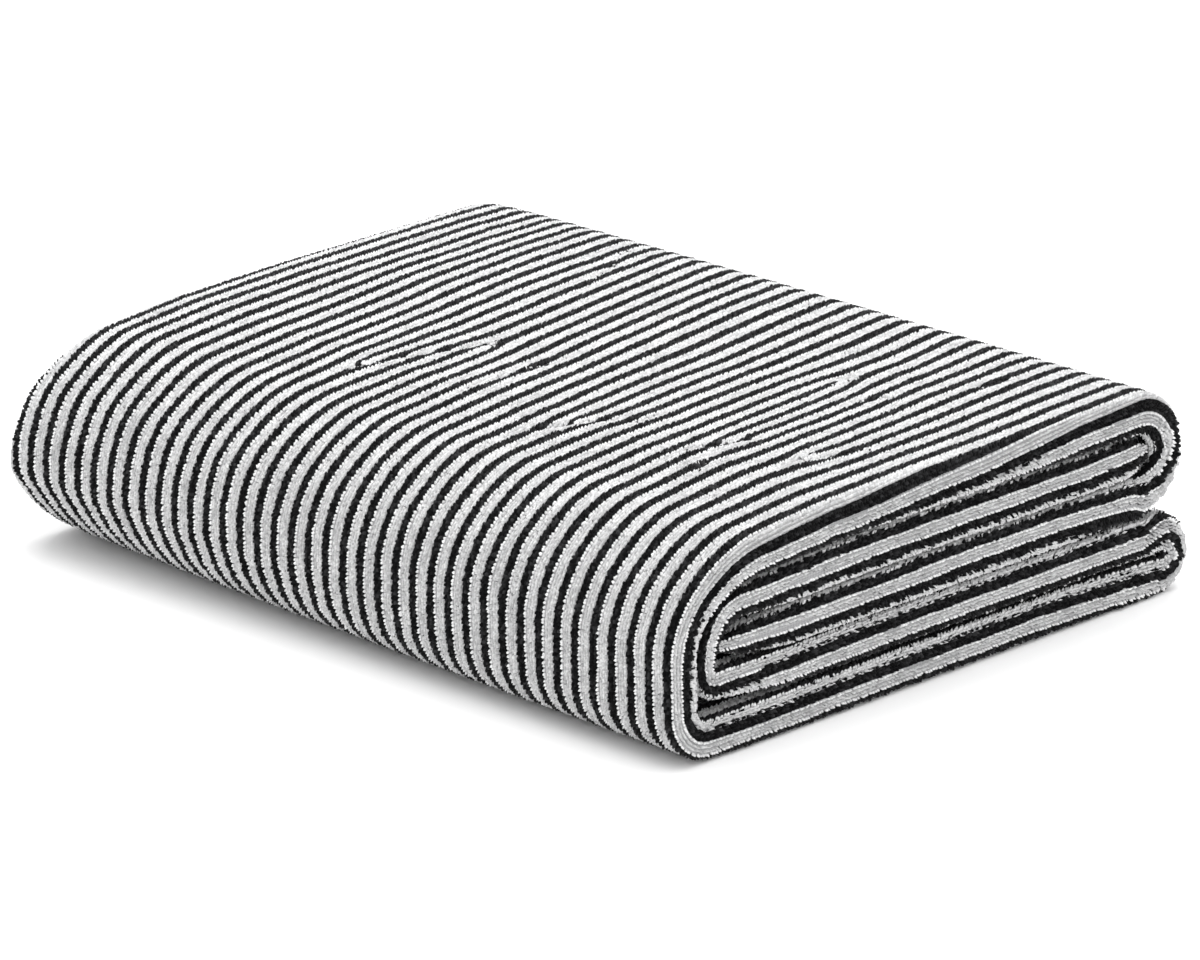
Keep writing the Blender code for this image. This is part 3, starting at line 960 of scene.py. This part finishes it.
def tufts(form, patch, first, random):
    """One kind of loop in a patch: points, triangles with points numbered from first on, each
    corner's place on the cloth and in a bake cell, and each point's shade and nearness to the tip.
    """
    offset = LOOP_OFFSET * patch.offset
    along = evenly_along(patch.start, patch.end, offset, form.pitch * patch.spread)
    row, reach = rows_at(along, patch.nearest, patch.furthest)
    row, stripe_reach, valley = stirred(along, row, reach, random)
    bead, outward = beads_among(row, stripe_reach)
    white = np.isin(row, WHITE_ROWS)
    kind = (row >= 0) & ~white
    if form is WHITE_LOOP:
        kind = white & ~bead
    elif form is BEAD_LOOP:
        kind = bead
        reach = reach + BEAD_STANDS_OFF * patch.ruffle * outward
    stray = random.normal(0.0, form.stray, row.shape) * patch.ruffle
    reach = reach + ROW_WANDERS * patch.ruffle * soft_noise(ROW_SWELLS, along[:, None], reach)
    laid = lay(along, reach + stray)
    shown = kind & wanted(patch, along, reach, laid.to_hem)
    here = along[np.nonzero(shown)[0]]
    points = loop_points(form, patch, laid, shown, valley[shown], random)
    triangles, corners = np.array(form.triangles), len(form.points)
    faces = first + np.arange(len(points))[:, None, None] * corners + triangles[None]
    centre = np.stack((here, (row[shown] + 0.5) * ROW), axis=-1) * MM
    in_cell = np.array(form.points)[triangles.ravel(), :2] * CELL_FILLED + 0.5
    shade = loop_shades(form, patch, here, reach[shown], valley[shown], random)
    tip = np.minimum(1.0, TIP_COVERS * np.array(form.points)[:, 2])
    places = np.repeat(centre, triangles.size, axis=0), np.tile(in_cell, (len(points), 1))
    marks = np.repeat(shade, corners), np.tile(tip, len(points))
    return points.reshape(-1, 3), faces.reshape(-1, 3), *places, *marks


def loop_piece(patch):
    """A piece of pile: its white loops, its beads and its black loops, each in a bake cell."""
    random = np.random.default_rng(patch.seed)
    blocks, loops, corners, first = [], [], [], 0
    for form in (WHITE_LOOP, BEAD_LOOP, BLACK_LOOP):
        blocks.append(tufts(form, patch, first, random))
        loops.append(len(blocks[-1][0]) // len(form.points))
        corners.append(3 * len(form.triangles))
        first += len(blocks[-1][0])
    points, faces, cloth_map, in_cell, shade, tip = map(np.concatenate, zip(*blocks))
    owner = np.repeat(np.arange(sum(loops)), np.repeat(corners, loops))
    cells = math.ceil(math.sqrt(sum(loops)))
    bake_map = (np.stack((owner % cells, owner // cells), axis=-1) + in_cell) / cells
    piece = piece_from(patch.name, points, [faces], {"cloth": cloth_map, "OFBake": bake_map})
    for mark, values in (("shade", shade), ("tip", tip)):
        layer = piece.data.attributes.new(mark, "FLOAT", "POINT")
        layer.data.foreach_set("value", values.astype(np.float32))
    return piece


LOOP_WHITES = ((0.46, 0.46, 0.47, 1.0), (0.96, 0.96, 0.96, 1.0))  # from shade 0 to shade 1
LOOP_BLACKS = ((0.003, 0.003, 0.0035, 1.0), (0.045, 0.045, 0.047, 1.0))
# Painted shade among the loops: the brightness at a loop's foot, and what is added up to its tip
PAINTED_FOOT_LIGHT, PAINTED_TIP_LIGHT = 0.50, 0.50  # a foot's brightness, and what a tip adds
FLUFF, FLUFF_SCALE = 1.1, 1000.0  # single fibres, lighter and darker
LOOP_BUMP, LOOP_BUMP_HEIGHT = 0.35, 0.0002


def loop_material():
    """Cotton loops: painted shade darkens them towards their feet, and no two are quite alike."""
    weaver = Weaver("terry_loops")
    _, _, across = cloth_places(weaver)
    black = black_share(weaver, across, WHITE_SHARE / 2)
    tip = weaver.node("ShaderNodeAttribute", {"attribute_name": "tip"}).outputs["Fac"]
    shade = weaver.node("ShaderNodeAttribute", {"attribute_name": "shade"}).outputs["Fac"]
    place = weaver.node("ShaderNodeTexCoord").outputs["Object"]
    fluff = weaver.noise(place, FLUFF_SCALE)
    yarn = weaver.blend(black, weaver.blend(shade, *LOOP_WHITES), weaver.blend(shade, *LOOP_BLACKS))
    # painted shade: each loop is darkest at its foot and brightest at its tip
    depth = weaver.sum("ADD", PAINTED_FOOT_LIGHT, weaver.sum("MULTIPLY", tip, PAINTED_TIP_LIGHT))
    fibres = weaver.sum("MULTIPLY", weaver.sum("SUBTRACT", fluff, 0.5), FLUFF)
    weaver.cotton(yarn, weaver.sum("ADD", depth, fibres), fluff, LOOP_BUMP, LOOP_BUMP_HEIGHT)
    return weaver.material


cotton_loops = loop_material()
loop_pieces = [loop_piece(patch) for patch in PATCHES + EDGE_PATCHES]
for piece in loop_pieces:
    piece.data.materials.append(cotton_loops)
    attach(piece, "root")


# ---- the floor
# A plain pale studio floor, wide enough to fill every view. It is no part of the towel.

FLOOR_SIZE = 30.0
FLOOR_CORNERS = ((-0.5, -0.5), (0.5, -0.5), (0.5, 0.5), (-0.5, 0.5))
FLOOR_DROP = 0.0003  # under the lowest loops, so that no two surfaces coincide
FLOOR_GREYS = ((0.96, 0.96, 0.96, 1.0), (0.97, 0.97, 0.97, 1.0))
FLOOR_CLOUDS = 3.0  # how fine they are
FLOOR_ROUGHNESS, FLOOR_SPECULAR = 0.9, 0.1

floor_mesh = bpy.data.meshes.new("floor")
floor_points = [(x * FLOOR_SIZE, y * FLOOR_SIZE, 0.0) for x, y in FLOOR_CORNERS]
floor_mesh.from_pydata(floor_points, [], [(0, 1, 2, 3)])
floor = into_scene("floor", floor_mesh)
floor.location.z = -FLOOR_DROP
floor_paint = Weaver("floor_paint")
floor_place = floor_paint.node("ShaderNodeTexCoord").outputs["Object"]
floor_colour = floor_paint.blend(floor_paint.noise(floor_place, FLOOR_CLOUDS), *FLOOR_GREYS)
floor_paint.put(floor_paint.shader.inputs["Base Color"], floor_colour)
floor_paint.shader.inputs["Roughness"].default_value = FLOOR_ROUGHNESS
floor_paint.shader.inputs["Specular IOR Level"].default_value = FLOOR_SPECULAR
floor_mesh.materials.append(floor_paint.material)


# ---- the light
# Plain soft studio light: an even white surround, and one large soft panel above and to the right.

SURROUND_WHITE = (1.0, 1.0, 1.0, 1.0)
SURROUND_STRENGTH = 1.08
PANEL_SIZE = 2.4
PANEL_PLACE = (0.20, 0.15, 1.9)
PANEL_POWER = 33.0

surround = bpy.data.worlds.new("surround")
surround.use_nodes = True
surround_light = surround.node_tree.nodes["Background"]
surround_light.inputs["Color"].default_value = SURROUND_WHITE
surround_light.inputs["Strength"].default_value = SURROUND_STRENGTH
bpy.context.scene.world = surround
panel_light = bpy.data.lights.new("panel", "AREA")
panel_light.shape = "SQUARE"
panel_light.size = PANEL_SIZE
panel_light.energy = PANEL_POWER
panel = into_scene("panel", panel_light)
panel.location = PANEL_PLACE
panel.rotation_euler = (-Vector(PANEL_PLACE)).to_track_quat("-Z", "Y").to_euler()
bpy.context.scene.view_settings.view_transform = "Standard"
bpy.context.scene.view_settings.look = "None"


# ---- the camera
# A long lens, low and from the near left-hand corner, as far off as the stack's perspective says.

CAMERA_SIDE = -44.99  # degrees, from the near side towards the left
CAMERA_HEIGHT = 19.06  # degrees, above the floor
CAMERA_DISTANCE = 3.4765
LENS = 241.04
SENSOR = 36.0
NEAREST_SEEN, FURTHEST_SEEN = 0.05, 60.0
AIM = Vector((0.0, 0.0, 0.047))
AIM_RIGHT = 0.00337  # from the aim to the picture's middle
AIM_UP = -0.00766

side, rise = math.radians(CAMERA_SIDE), math.radians(CAMERA_HEIGHT)
level = math.cos(rise)
towards = Vector((math.sin(side) * level, -math.cos(side) * level, math.sin(rise)))
rightward = Vector((math.cos(side), math.sin(side), 0.0))
upward = towards.cross(rightward)
camera_data = bpy.data.cameras.new("camera")
camera_data.lens = LENS
camera_data.sensor_width = SENSOR
camera_data.sensor_fit = "HORIZONTAL"
camera_data.clip_start = NEAREST_SEEN
camera_data.clip_end = FURTHEST_SEEN
camera = into_scene("camera", camera_data)
camera_place = AIM + towards * CAMERA_DISTANCE
look = (AIM + rightward * AIM_RIGHT + upward * AIM_UP - camera_place).normalized()
camera_right = look.cross(Vector((0.0, 0.0, 1.0))).normalized()
camera_up = camera_right.cross(look)
turned = Matrix((camera_right, camera_up, -look)).transposed()
camera.matrix_world = Matrix.Translation(camera_place) @ turned.to_4x4()
bpy.context.scene.camera = camera
